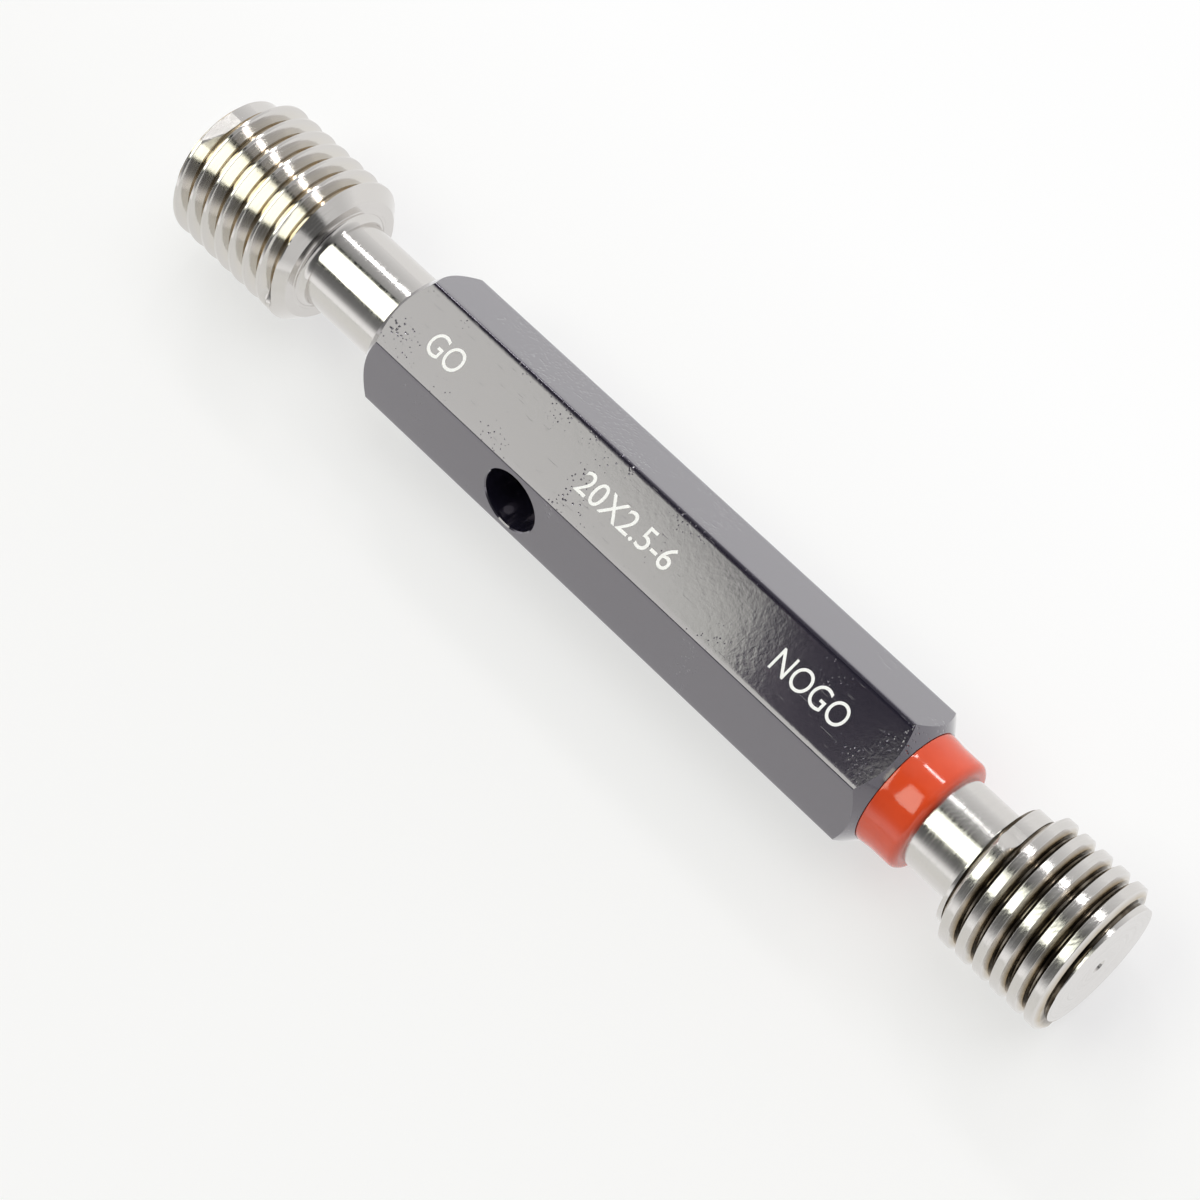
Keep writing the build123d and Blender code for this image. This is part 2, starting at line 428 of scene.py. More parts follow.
    def groove_shaded_colour(self, tree: Tree, groove: Reading, blotches: Reading) -> bpy.types.Node:
        """Paints patchy shade on the grooves' flanks and deeper, warmer shade on their floors.

        Args:
            tree: The material's tree.
            groove: How deep in a groove a point is.
            blotches: The noise that varies how much shade is painted.

        Returns:
            The node that gives the colour.
        """
        levels = (self.painted_shade_amount / 2, self.painted_shade_amount)
        patchy = add_node(tree, "MapRange", Span(*self.blotch_span, *levels).of(blotches))
        colour = linear_colour(self.colour)
        # Painted shade and painted warm bounce light: the deeper a point lies in a groove, the
        # darker and warmer its colour
        for span, shade_colour in ((self.flank_shade_span, self.flank_painted_shade), (self.floor_shade_span, self.floor_painted_shade)):
            depth = add_node(tree, "MapRange", span.of(groove))
            share = add_node(tree, "Math", {0: depth, 1: patchy}, operation="MULTIPLY")
            inputs = {"Factor": share, "A": colour, "B": linear_colour(shade_colour)}
            colour = add_node(tree, "Mix", inputs, data_type="RGBA")
        return colour

    def ripples(self, tree: Tree, place: Reading, patches: Reading) -> bpy.types.Node:
        """Draws the slanting ripples that the grinding wheel left, in patches.

        Args:
            tree: The material's tree.
            place: Object coordinates in millimetres.
            patches: The noise that says where the ripples are.

        Returns:
            The node that gives the pattern.
        """
        slanted = add_node(
            tree, "Mapping", {"Vector": place, "Rotation": (0.0, 0.0, self.chatter_turn)}
        )
        # At a scale of 1, this texture repeats every 0.314
        waves = add_node(tree, "TexWave", {
            "Vector": slanted,
            "Scale": 0.314 / self.chatter_spacing,
            "Distortion": 2.5,
            "Detail": 2.0,
            "Detail Scale": 1.5,
        })
        where = add_node(tree, "MapRange", self.chatter_span.of(patches))
        return add_node(tree, "Math", {0: waves.outputs["Fac"], 1: where}, operation="MULTIPLY")


@dataclass(frozen=True)
class BlackLacquer:
    """Stove-baked black lacquer on steel: near black with a violet cast. Millimetres."""

    name: str = "Black stoving lacquer"
    colour: str = "#1F1D2A"
    under_coat_roughness: float = 0.12
    top_coat_roughness: float = 0.03
    gloss_ior: float = 1.85
    gloss_tint: str = "#F6E9FF"
    peel_size: float = 2.6
    peel_height: float = 0.0025
    hammer_size: float = 0.55
    hammer_height: float = 0.0030
    scratch_turn: Triple = (0.0, 0.0, 0.25)
    scratch_stretch: Triple = (0.35, 7.0, 7.0)
    scratch_span: Span = Span(0.74, 0.77)
    scratch_depth: float = 0.0015
    cluster_size: float = 100 / 11
    poor_edge: Span = Span(1.8, 4.4, high=0.15)
    poor_half: Span = Span(20.0, 4.0)
    pit_size: float = 0.5
    pit_reach: Span = Span(0.51, 0.66, high=0.34)
    pit_depth: float = 0.05

    def material(self) -> bpy.types.Material:
        """Builds the lacquer: two glossy coats with orange peel, pits and fine scratches.

        Returns:
            The material.
        """
        # Baked lacquer flows out but never lies flat, so it mirrors lamps with wavy edges
        material, tree = new_material(self.name)
        place = millimetres(tree)
        slanted = add_node(
            tree,
            "Mapping",
            {"Vector": place, "Rotation": self.scratch_turn, "Scale": self.scratch_stretch},
        )
        peel, hammer, clusters, drawn_out = (
            add_node(tree, "TexNoise", {"Vector": where, "Scale": 1 / size, "Detail": octaves})
            for where, size, octaves in (
                (place, self.peel_size, 2.0),
                (place, self.hammer_size, 3.0),
                (place, self.cluster_size, 3.0),
                (slanted, 1.0, 1.0),
            )
        )
        scratches = add_node(tree, "MapRange", self.scratch_span.of(drawn_out))
        normal = None
        for pattern, height in (
            (peel, self.peel_height),
            (hammer, self.hammer_height),
            (scratches, -self.scratch_depth),
            (self.pits(tree, place, clusters), -self.pit_depth),
        ):
            inputs = {"Height": pattern, "Distance": abs(height) * MM, "Normal": normal}
            normal = add_node(tree, "Bump", inputs, invert=height < 0)
        shader = add_node(tree, "BsdfPrincipled", {
            "Base Color": linear_colour(self.colour),
            "Roughness": self.under_coat_roughness,
            "IOR": self.gloss_ior,
            "Specular Tint": linear_colour(self.gloss_tint),
            "Coat Weight": 1.0,
            "Coat Roughness": self.top_coat_roughness,
            "Coat IOR": self.gloss_ior,
            "Normal": normal,
            "Coat Normal": normal,
        })
        add_node(tree, "OutputMaterial", {"Surface": shader})
        return material

    def pits(self, tree: Tree, place: Reading, clusters: Reading) -> bpy.types.Node:
        """Pits the film where it is poor, more so along the +Y edges of the GO half.

        Args:
            tree: The material's tree.
            place: Object coordinates in millimetres.
            clusters: The noise that says where the film is poor.

        Returns:
            The node that gives the pattern.
        """
        parts = add_node(tree, "SeparateXYZ", {"Vector": place}).outputs
        edge = add_node(tree, "MapRange", self.poor_edge.of(parts["Y"]))
        half = add_node(tree, "MapRange", self.poor_half.of(parts["X"]))
        added = add_node(tree, "Math", {0: edge, 1: half}, operation="MULTIPLY")
        poor_film = add_node(tree, "Math", {0: clusters, 1: added}, operation="ADD")
        reach = add_node(tree, "MapRange", self.pit_reach.of(poor_film))
        cells = add_node(tree, "TexVoronoi", {"Vector": place, "Scale": 1 / self.pit_size})
        inputs = {"Value": cells, "From Max": reach, "To Min": 1.0, "To Max": 0.0}
        return add_node(tree, "MapRange", inputs)


@dataclass(frozen=True)
class RedPlastic:
    """Soft red PVC, dipped or moulded. Millimetres."""

    name: str = "Red PVC"
    colours: tuple[str, str] = ("#DC4620", "#E65229")
    roughness: float = 0.11
    gloss_ior: float = 1.68
    skin_size: float = 0.7
    skin_height: float = 0.009
    tone_size: float = 2.0

    def material(self) -> bpy.types.Material:
        """Builds the plastic: one red with a little variation under a smooth skin.

        Returns:
            The material.
        """
        # A warm glossy red whose skin is slightly wavy
        material, tree = new_material(self.name)
        place = millimetres(tree)
        skin, tone = (
            add_node(tree, "TexNoise", {"Vector": place, "Scale": 1 / size, "Detail": octaves})
            for size, octaves in ((self.skin_size, 3.0), (self.tone_size, 2.0))
        )
        low, high = map(linear_colour, self.colours)
        red = add_node(tree, "Mix", {"Factor": tone, "A": low, "B": high}, data_type="RGBA")
        waves = add_node(tree, "Bump", {"Height": skin, "Distance": self.skin_height * MM})
        shader = add_node(tree, "BsdfPrincipled", {
            "Base Color": red,
            "Roughness": self.roughness,
            "IOR": self.gloss_ior,
            "Normal": waves,
        })
        add_node(tree, "OutputMaterial", {"Surface": shader})
        return material


@dataclass(frozen=True)
class WhiteFilling:
    """White enamel paste wiped into engraved strokes. Millimetres."""

    name: str = "White enamel filling"
    colours: tuple[str, str] = ("#F4F3F1", "#FEFEFE")
    roughness: float = 0.55
    wear_size: float = 0.25
    wear_span: Span = Span(0.3, 0.7)
    wear_height: float = 0.01

    def material(self) -> bpy.types.Material:
        """Builds the filling: off-white, a little worn.

        Returns:
            The material.
        """
        # Wiped paste dries matt and slightly uneven
        material, tree = new_material(self.name)
        place = millimetres(tree)
        wear = add_node(
            tree, "TexNoise", {"Vector": place, "Scale": 1 / self.wear_size, "Detail": 3.0}
        )
        shade = add_node(tree, "MapRange", self.wear_span.of(wear))
        low, high = map(linear_colour, self.colours)
        white = add_node(tree, "Mix", {"Factor": shade, "A": low, "B": high}, data_type="RGBA")
        worn = add_node(tree, "Bump", {"Height": wear, "Distance": self.wear_height * MM})
        shader = add_node(tree, "BsdfPrincipled", {
            "Base Color": white,
            "Roughness": self.roughness,
            "Normal": worn,
        })
        add_node(tree, "OutputMaterial", {"Surface": shader})
        return material


@dataclass(frozen=True)
class WhitePaper:
    """White card sweep that keeps the shadow. Each glow runs along Y, in metres."""

    name: str = "White card"
    colour: str = "#F4F3F4"
    glow: Span = Span(-0.010, 0.045, 0.54, 0.93)
    mirrored_glow: Span = Span(-0.034, -0.012, 0.0, 0.80)

    def material(self) -> bpy.types.Material:
        """Builds the card: a matt sheet, partly replaced by white where it is seen or mirrored.

        Returns:
            The material.
        """
        # Matt card with painted light: it glows white where it is seen, more behind the gauge than
        # in front of it, which washes out the shadow behind, and where it is mirrored it glows only
        # from just in front of the gauge backwards
        material, tree = new_material(self.name)
        path = add_node(tree, "LightPath").outputs
        place = add_node(tree, "TexCoord").outputs["Object"]
        depth = add_node(tree, "SeparateXYZ", {"Vector": place}).outputs["Y"]
        glow, mirrored_glow = (
            add_node(tree, "MapRange", span.of(depth))
            for span in (self.glow, self.mirrored_glow)
        )
        mirrored = add_node(
            tree,
            "Math",
            {0: path["Is Glossy Ray"], 1: path["Is Transmission Ray"]},
            operation="MAXIMUM",
        )
        seen_share = add_node(
            tree, "Math", {0: path["Is Camera Ray"], 1: glow}, operation="MULTIPLY"
        )
        share = add_node(
            tree,
            "Math",
            {0: mirrored, 1: mirrored_glow, 2: seen_share},
            operation="MULTIPLY_ADD",
        )
        sheet = add_node(tree, "BsdfDiffuse", {"Color": linear_colour(self.colour)})
        white = add_node(tree, "Emission", {"Color": (1, 1, 1, 1), "Strength": 1.0})
        mixed = add_node(tree, "MixShader", {0: share, 1: sheet, 2: white})
        add_node(tree, "OutputMaterial", {"Surface": mixed})
        return material


@dataclass
class ThreadForm:
    """One thread, from the middle of a crest to the middle of the next. Millimetres and degrees."""

    crest_radius: float
    crest_flat: float
    slot_width: float
    groove_depth: float
    first_crest: float
    pitch: float = 2.5
    flank_angle: float = 30.0
    crest_rounding: float = 0.03
    slot_rounding: float = 0.04
    root_rounding: float = 0.12
    corner_support: float = 0.05
    steps_per_turn: int = 144
    flank_cuts: int = 5
    corner_segments: int = 2
    root_segments: int = 3
    spare_turns: int = 2

    def outline(self, bm: bmesh.types.BMesh, start: float) -> None:
        """Draws one pitch of the thread over the top of the axis.

        Args:
            bm: The mesh that it is drawn in.
            start: Station of the crest that the pitch starts at.
        """
        half_crest = self.crest_flat / 2
        slot_edge = (self.pitch - self.slot_width) / 2
        slot_top = self.crest_radius - (slot_edge - half_crest) / tan(radians(self.flank_angle))
        root = self.crest_radius - self.groove_depth
        # Points close to a rounded corner keep the flats beside it flat once it is smoothed
        beside = self.corner_support
        lean = radians(self.flank_angle)
        across, down = beside * sin(lean), beside * cos(lean)
        rising = [
            (0.0, self.crest_radius),
            (half_crest - beside, self.crest_radius),
            (half_crest, self.crest_radius),
            (half_crest + across, self.crest_radius - down),
            (slot_edge - across, slot_top + down),
            (slot_edge, slot_top),
            (slot_edge, root),
            (self.pitch / 2, root),
        ]
        falling = [(self.pitch - x, radius) for x, radius in reversed(rising[:-1])]
        places = [(start + x, radius) for x, radius in rising + falling]
        chain(bm, places)
        flanks = [
            edge
            for edge in bm.edges
            if abs(edge.verts[0].co.x - edge.verts[1].co.x) > 2 * beside
            and abs(edge.verts[0].co.z - edge.verts[1].co.z) > 2 * beside
        ]
        bmesh.ops.subdivide_edges(bm, edges=flanks, cuts=self.flank_cuts)
        round_corners(bm, [places[2], places[-3]], self.crest_rounding, self.corner_segments)
        round_corners(bm, [places[5], places[-6]], self.slot_rounding, self.corner_segments)
        round_corners(bm, [places[6], places[-7]], self.root_rounding, self.root_segments)

    def surface(self, low: float, high: float) -> bmesh.types.BMesh:
        """Winds the thread from before one station to past another.

        Args:
            low: The first station that it must cover.
            high: The last station that it must cover.

        Returns:
            The open helical surface.
        """
        first_turn = int((low - self.first_crest) / self.pitch) - self.spare_turns
        start = self.first_crest + first_turn * self.pitch
        turns = int((high - start) / self.pitch) + self.spare_turns
        bm = bmesh.new()
        self.outline(bm, start)
        spin_once(bm, self.steps_per_turn, dvec=(self.pitch / self.steps_per_turn, 0, 0))
        one_turn = bm.verts[:] + bm.edges[:] + bm.faces[:]
        for count in range(1, turns):
            copied = bmesh.ops.duplicate(bm, geom=one_turn)["geom"]
            moved = [item for item in copied if isinstance(item, bmesh.types.BMVert)]
            bmesh.ops.translate(bm, verts=moved, vec=(count * self.pitch, 0, 0))
        bmesh.ops.remove_doubles(bm, verts=bm.verts, dist=NEAR)
        return bm

    def turns_at(self, point: Vector) -> Triple:
        """Says where a point lies on the helix.

        Args:
            point: A point about the X axis.

        Returns:
            Its angle in degrees from +Y towards +Z, its place in pitches past the first ridge, and
            its radius.
        """
        angle = degrees(atan2(point.z, point.y)) % FULL_TURN
        place = (point.x - self.first_crest) / self.pitch - (angle - TOP_ANGLE) / FULL_TURN
        return angle, place, hypot(point.y, point.z)


@dataclass
class CentreHole:
    """Centre hole that carries a member while it is ground. Millimetres and degrees."""

    drill_radius: float = 0.5
    mouth_radius: float = 0.9
    depth: float = 2.4
    mouth_angle: float = 60.0

    def outline(self, face: float, inwards: int) -> Outline:
        """Gives the hole's section from its mouth to its floor.

        Args:
            face: Station of the end face.
            inwards: 1 if the hole runs along +X, -1 along -X.

        Returns:
            Stations with radii.
        """
        cone = (self.mouth_radius - self.drill_radius) / tan(radians(self.mouth_angle / 2))
        return [
            (face, self.mouth_radius),
            (face + inwards * cone, self.drill_radius),
            (face + inwards * self.depth, self.drill_radius),
            (face + inwards * self.depth, 0.0),
        ]


@dataclass
class Member:
    """One threaded member of the gauge with its neck and taper shank. Millimetres and degrees."""

    name: str
    node: str
    free_end: FreeEnd
    thread: ThreadForm
    finish: GroundSteel
    axis_height: float
    end_face: float
    thread_length: float
    handle_face: float
    shank_end: float
    neck_radius: float = 6.0
    neck_fillet: float = 0.5
    fillet_steps: int = 6
    taper_on_diameter: float = 1 / 50
    shank_chamfer: float = 0.4
    edge_break: float = 0.30
    ground_depth: float = 1.70
    ramp_low_angle: float = 75.0
    ramp_high_angle: float = 100.0
    ramp_margins: tuple[float, float] = (8.0, 2.0)
    face_rim: float = 0.03
    shortest_edge: float = 0.002
    square_normal: float = 0.9999
    centre_hole: CentreHole = field(default_factory=CentreHole)

    @property
    def inwards(self) -> int:
        """1 if the member runs along +X from its end face, -1 if along -X."""
        return -self.free_end.value

    @property
    def shoulder(self) -> float:
        """Station of the shoulder behind the thread."""
        return self.end_face + self.inwards * self.thread_length

    def ground_limit(self, ridge_turns: float) -> float:
        """Gives the radius that the ground-off first turn and its ramp leave.

        Args:
            ridge_turns: How far along the ridge a point lies, in degrees.

        Returns:
            The largest radius there, infinite past the ramp.
        """
        crest = self.thread.crest_radius
        ground = (crest - self.ground_depth, self.ramp_low_angle)
        if ridge_turns <= self.ramp_low_angle:
            return ground[0]
        if ridge_turns < self.ramp_high_angle:
            return polar_chord(ridge_turns, ground, (crest, self.ramp_high_angle))
        return inf

    def broken_edge(self, point: Vector) -> float:
        """Gives the radius that the broken edge of the end face leaves at a point."""
        past_face = self.inwards * (point.x - self.end_face)
        return self.thread.crest_radius - self.edge_break + past_face

    def trimmed_radius(self, point: Vector) -> float:
        """Gives a point's radius once the thread's ends are ground and its edges are broken."""
        return min(hypot(point.y, point.z), self.broken_edge(point))

    def on_ramp(self, point: Vector) -> bool:
        """Says whether a point lies where the thread's first turn was ground down to a ramp.

        Args:
            point: A point of the wound thread.

        Returns:
            True if it does.
        """
        angle, place, _ = self.thread.turns_at(point)
        before, after = self.ramp_margins
        ridge_turns = round(place) * FULL_TURN + angle
        return self.ramp_low_angle - before < ridge_turns < self.ramp_high_angle + after

    def extra_cuts(self) -> list[float]:
        """Gives stations where a turned edge crosses the thread, so that it stays crisp."""
        return [self.end_face + self.inwards * self.edge_break]

    def neck_outline(self) -> Outline:
        """Gives the section from the shoulder's inner circle to the end of the shank.

        Returns:
            Stations with radii.
        """
        inwards, fillet = self.inwards, self.neck_fillet
        angles = [pi / 2 * step / self.fillet_steps for step in range(self.fillet_steps + 1)]
        rounding = [
            (
                self.shoulder + inwards * fillet * (1 - cos(angle)),
                self.neck_radius + fillet * (1 - sin(angle)),
            )
            for angle in angles
        ]
        half_taper = self.taper_on_diameter / 2
        end_radius = self.neck_radius - abs(self.shank_end - self.handle_face) * half_taper
        chamfer = self.shank_chamfer
        return rounding + [
            (self.handle_face, self.neck_radius),
            (self.shank_end - inwards * chamfer, end_radius + chamfer * half_taper),
            (self.shank_end, end_radius - chamfer),
            (self.shank_end, 0.0),
        ]

    def thread_body(self) -> bmesh.types.BMesh:
        """Winds the thread, cuts it to length and grinds its ends.

        Returns:
            The thread, open at both ends, with its attributes.
        """
        low, high = sorted((self.end_face, self.shoulder))
        bm = self.thread.surface(low, high)
        cuts = [(station, {}) for station in self.extra_cuts()]
        cuts += [(low, {"clear_inner": True}), (high, {"clear_outer": True})]
        for station, cleared in cuts:
            geometry = bm.verts[:] + bm.edges[:] + bm.faces[:]
            bmesh.ops.bisect_plane(
                bm, geom=geometry, plane_co=(station, 0, 0), plane_no=X_AXIS, **cleared
            )
        groove = bm.verts.layers.float.new(GROOVE)
        ramp = bm.verts.layers.float.new(RAMP)
        for vert in bm.verts:
            radius = hypot(vert.co.y, vert.co.z)
            trimmed = self.trimmed_radius(vert.co)
            if abs(trimmed - radius) < SAME:
                vert[groove] = (self.thread.crest_radius - radius) / self.thread.groove_depth
            vert[ramp] = float(self.on_ramp(vert.co))
            vert.co.y *= trimmed / radius
            vert.co.z *= trimmed / radius
        bmesh.ops.dissolve_degenerate(bm, dist=self.shortest_edge, edges=bm.edges)
        return bm

    def close_face(self, bm: bmesh.types.BMesh, station: float) -> None:
        """Fills the flat ring between two open circles, and keeps the painted groove shade and the
        ramps off it.

        Args:
            bm: The member's mesh.
            station: Where the circles are.
        """
        rims = [
            edge
            for edge in bm.edges
            if edge.is_boundary and all(abs(vert.co.x - station) < NEAR for vert in edge.verts)
        ]
        filled = bmesh.ops.triangle_fill(bm, edges=rims, use_beauty=True)["geom"]
        faces = [item for item in filled if isinstance(item, bmesh.types.BMFace)]
        bmesh.ops.inset_region(bm, faces=faces, thickness=self.face_rim, use_even_offset=True)
        layers = [bm.verts.layers.float[GROOVE], bm.verts.layers.float[RAMP]]
        for vert in {vert for face in faces for vert in face.verts}:
            for layer in layers:
                vert[layer] = 0.0

    def build(self) -> bpy.types.Object:
        """Builds the whole member as one closed piece and dresses it.

        Returns:
            The piece, riding on its body in place of the plain solid.
        """
        bm = self.thread_body()
        for outline in (self.centre_hole.outline(self.end_face, self.inwards), self.neck_outline()):
            part = turn(outline, self.thread.steps_per_turn)
            mesh = bpy.data.meshes.new("turned")
            part.to_mesh(mesh)
            part.free()
            bm.from_mesh(mesh)
            bpy.data.meshes.remove(mesh)
        self.close_face(bm, self.end_face)
        self.close_face(bm, self.shoulder)
        bmesh.ops.remove_doubles(bm, verts=bm.verts, dist=WELD)
        mark_edges(bm)
        # The faces that are square to the axis stay flat
        for face in bm.faces:
            face.normal_update()
            face.smooth = abs(face.normal.x) < self.square_normal
        piece = finish_piece(bm, self.name, self.axis_height)
        piece.data.materials.append(self.finish.material())
        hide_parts(self.node)
        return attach(piece, BODY)


@dataclass
class GoMember(Member):
    """Full-form member: its first turn is ground off, its groove ends before a coned shoulder."""

    shoulder_depth: float = 1.55
    groove_end_angle: float = 160.0
    groove_end_run: float = 16.0
    groove_end_turn: int = 6
    bead: tuple[float, float] = (6.75, 7.25)
    bead_height: float = 0.10

    def neck_outline(self) -> Outline:
        """Gives the section of the neck, from a low turned bead on the shoulder's face.

        Returns:
            Stations with radii.
        """
        inner, outer = self.bead
        top = self.shoulder + self.bead_height
        return [
            (self.shoulder, outer),
            (top, outer - self.bead_height),
            (top, inner + self.bead_height),
            (self.shoulder, inner),
        ] + super().neck_outline()

    def extra_cuts(self) -> list[float]:
        """Gives the stations of the edge break and of the shoulder cone."""
        return super().extra_cuts() + [self.shoulder - self.shoulder_depth]

    def trimmed_radius(self, point: Vector) -> float:
        """Fills the groove past its end, then takes off the first turn, the edge and the cone.

        Args:
            point: A point of the wound thread.

        Returns:
            The radius that it gets.
        """
        angle, place, radius = self.thread.turns_at(point)
        crest = self.thread.crest_radius
        groove_turns = int(place // 1) * FULL_TURN + angle
        # The cutter lifts out of the groove over a short run
        past_end = groove_turns - self.groove_end_turn * FULL_TURN - self.groove_end_angle
        lifted = min(max(past_end / self.groove_end_run, 0.0), 1.0)
        radius += (crest - radius) * lifted * lifted * (3 - 2 * lifted)
        ground = self.ground_limit(round(place) * FULL_TURN + angle)
        cone = crest - (point.x - self.shoulder + self.shoulder_depth)
        return min(radius, ground, self.broken_edge(point), cone)


@dataclass
class NogoMember(Member):
    """Truncated member: wide crests, both end turns ground off."""

    edge_break: float = 0.20
    ground_depth: float = 1.44
    ramp_low_angle: float = 67.0
    ramp_high_angle: float = 81.0
    last_ridge_end_angle: float = 205.0
    last_ridge: int = 5

    def trimmed_radius(self, point: Vector) -> float:
        """Takes off the incomplete turns at both ends and breaks the edge.

        Args:
            point: A point of the wound thread.

        Returns:
            The radius that it gets.
        """
        angle, place, radius = self.thread.turns_at(point)
        ridge_turns = round(place) * FULL_TURN + angle
        ground = self.ground_limit(ridge_turns)
        if ridge_turns > self.last_ridge * FULL_TURN + self.last_ridge_end_angle:
            ground = self.thread.crest_radius - self.ground_depth
        return min(radius, ground, self.broken_edge(point))


@dataclass
class HexHandle:
    """Hexagonal handle with turned ends, a bore with two sockets and a cross hole.

    Millimetres and degrees. The easing gives distances before a corner, each with the share of the
    corner's sag that a flat has fallen there.
    """

    start: float
    end: float
    axis_height: float
    finish: BlackLacquer
    flats: int = 6
    across_flats: float = 16.8
    corner_radius: float = 0.28
    corner_segments: int = 4
    corner_sag: float = 0.035
    easing: tuple[tuple[float, float], ...] = ((0.75, 0.0), (0.40, 0.17), (0.15, 0.57))
    end_depth: float = 0.70
    end_slope: float = 0.85
    socket_depth: float = 21.0
    socket_radius: float = 6.0
    taper_on_diameter: float = 1 / 50
    mouth_chamfer: float = 0.25
    bore_radius: float = 5.0
    hole_station: float = -12.3
    hole_radius: float = 4.0
    hole_mouth: float = 0.15
    hole_angle: float = 150.0
    cutter_reach: float = 1.0
    round_steps: int = 128

    def bar(self) -> bmesh.types.BMesh:
        """Makes the hexagonal bar, whose lacquered flats fall away before their rounded edges.

        Returns:
            The bar about the axis.
        """
        flat, sag = self.across_flats / 2, self.corner_sag
        half_turn = pi / self.flats
        corner = flat * tan(half_turn)
        half = [
            (0.0, flat),
            *[(corner - before, flat - share * sag) for before, share in self.easing],
            (corner - sag / 2, flat - sag * cos(half_turn)),
        ]
        bm = bmesh.new()
        chain(bm, [(-y, z) for y, z in reversed(half)] + half[1:])
        spin_once(bm, self.flats, Y_AXIS, use_duplicate=True)
        bmesh.ops.remove_doubles(bm, verts=bm.verts, dist=WELD)
        edge_distance = hypot(*half[-1])
        places = [vert.co.xz for vert in bm.verts if abs(vert.co.length - edge_distance) < NEAR]
        round_corners(bm, places, self.corner_radius * tan(half_turn), self.corner_segments)
        bmesh.ops.contextual_create(bm, geom=bm.edges[:])
        turned = Matrix.Rotation(pi / 2, 3, "Z")
        bmesh.ops.rotate(bm, verts=bm.verts, cent=(0, 0, 0), matrix=turned)
        bmesh.ops.translate(bm, verts=bm.verts, vec=(self.start, 0, 0))
        grown = bmesh.ops.extrude_face_region(bm, geom=bm.faces[:])["geom"]
        moved = [item for item in grown if isinstance(item, bmesh.types.BMVert)]
        bmesh.ops.translate(bm, verts=moved, vec=(self.end - self.start, 0, 0))
        bmesh.ops.recalc_face_normals(bm, faces=bm.faces)
        return bm

    def envelope(self) -> bmesh.types.BMesh:
        """Makes the round form whose coned ends trim the bar.

        Returns:
            The form about the axis.
        """
        rise = self.across_flats / 2
        run = rise * self.end_slope
        end_radius = rise - self.end_depth
        outline = [
            (self.start, 0.0),
            (self.start, end_radius),
            (self.start + run, end_radius + rise),
            (self.end - run, end_radius + rise),
            (self.end, end_radius),
            (self.end, 0.0),
        ]
        return turn(outline, self.round_steps * 2)

    def bore(self) -> bmesh.types.BMesh:
        """Makes the cutter for both sockets and the bore between them.

        Returns:
            The cutter about the axis.
        """
        half_taper = self.taper_on_diameter / 2
        seat = self.socket_radius + self.mouth_chamfer * (1 - half_taper)
        inner = self.socket_radius - self.socket_depth * half_taper
        near, far = self.start + self.socket_depth, self.end - self.socket_depth
        outline = [
            (self.start - self.cutter_reach, 0.0),
            (self.start - self.cutter_reach, seat),
            (self.start, seat),
            (self.start + self.mouth_chamfer, seat - self.mouth_chamfer),
            (near, inner),
            (near, self.bore_radius),
            (far, self.bore_radius),
            (far, inner),
            (self.end - self.mouth_chamfer, seat - self.mouth_chamfer),
            (self.end, seat),
            (self.end + self.cutter_reach, seat),
            (self.end + self.cutter_reach, 0.0),
        ]
        return turn(outline, self.round_steps)

    def cross_hole(self) -> bmesh.types.BMesh:
        """Makes the cutter for the hole that a drift goes through, with both its mouths eased.

        Returns:
            The cutter in its place.
        """
        face = self.across_flats / 2
        half = [
            (face - self.hole_mouth, self.hole_radius),
            (face, self.hole_radius + self.hole_mouth),
            (face + self.cutter_reach, self.hole_radius + self.hole_mouth),
            (face + self.cutter_reach, 0.0),
        ]
        bm = turn([(-x, radius) for x, radius in reversed(half)] + half, self.round_steps)
        for angle, axis in ((pi / 2, "Z"), (radians(self.hole_angle), "X")):
            turned = Matrix.Rotation(angle, 3, axis)
            bmesh.ops.rotate(bm, verts=bm.verts, cent=(0, 0, 0), matrix=turned)
        bmesh.ops.translate(bm, verts=bm.verts, vec=(self.hole_station, 0, 0))
        return bm

    def build(self) -> bpy.types.Object:
        """Cuts the handle from its bar and dresses it.

        Returns:
            The piece, riding on its body in place of the plain solid.
        """
        piece = finish_piece(self.bar(), "handle_lacquered", self.axis_height)
        self.carve(piece, self.envelope(), Cut.KEEP_INSIDE)
        self.carve(piece, self.bore(), Cut.REMOVE)
        self.carve(piece, self.cross_hole(), Cut.REMOVE)
        bm = bmesh.new()
        bm.from_mesh(piece.data)
        bmesh.ops.remove_doubles(bm, verts=bm.verts, dist=WELD * MM)
        mark_edges(bm)
        bm.to_mesh(piece.data)
        bm.free()
        # The flats keep their own normals, so that only the rounded edges blend
        piece.modifiers.new("flat faces", "WEIGHTED_NORMAL").keep_sharp = True
        piece.data.materials.clear()
        piece.data.materials.append(self.finish.material())
        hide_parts("handle")
        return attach(piece, BODY)

    def carve(self, piece: bpy.types.Object, cutter_mesh: bmesh.types.BMesh, cut: Cut) -> None:
        """Takes one cutter to the piece and keeps the result as its mesh.

        Args:
            piece: The solid that is cut.
            cutter_mesh: The cutter, in millimetres about the axis. It is freed.
            cut: What the cutter does.
        """
        bmesh.ops.recalc_face_normals(cutter_mesh, faces=cutter_mesh.faces)
        cutter = finish_piece(cutter_mesh, "cutter", self.axis_height)
        modifier = piece.modifiers.new("cut", "BOOLEAN")
        modifier.operation = cut.value
        modifier.solver = "EXACT"
        modifier.object = cutter
        bpy.context.view_layer.update()
        graph = bpy.context.evaluated_depsgraph_get()
        carved = bpy.data.meshes.new_from_object(piece.evaluated_get(graph))
        piece.modifiers.clear()
        old_mesh, piece.data = piece.data, carved
        bpy.data.meshes.remove(old_mesh)
        bpy.data.objects.remove(cutter)


